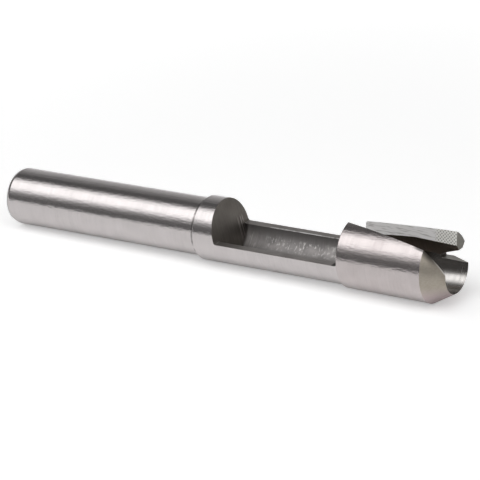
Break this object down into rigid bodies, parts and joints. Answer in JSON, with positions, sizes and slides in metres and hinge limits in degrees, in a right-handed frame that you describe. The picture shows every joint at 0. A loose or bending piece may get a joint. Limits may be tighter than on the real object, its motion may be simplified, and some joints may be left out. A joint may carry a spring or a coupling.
{
  "type": "plug cutter",
  "caption": "Turned steel plug cutter: a plain round shank, an open trough where the plugs drop out, and a bored head with a long scoring tooth beside a shorter, flat-ended tooth.",
  "frame": {"origin": "centre of the shank's flat end face", "axes": "+X along the tool's axis from the shank's end to the cutting edge, +Z square to the milled floor of the ejection window"},
  "size_m": [0.1103, 0.0154, 0.0151],
  "materials": {
    "tool_steel": "bright ground round the outside, with darker milled walls in the window and gullet and fine grinding marks on the cutting faces"
  },
  "bodies": {
    "root": {"cutter_body": "tool_steel"}
  },
  "joints": []
}
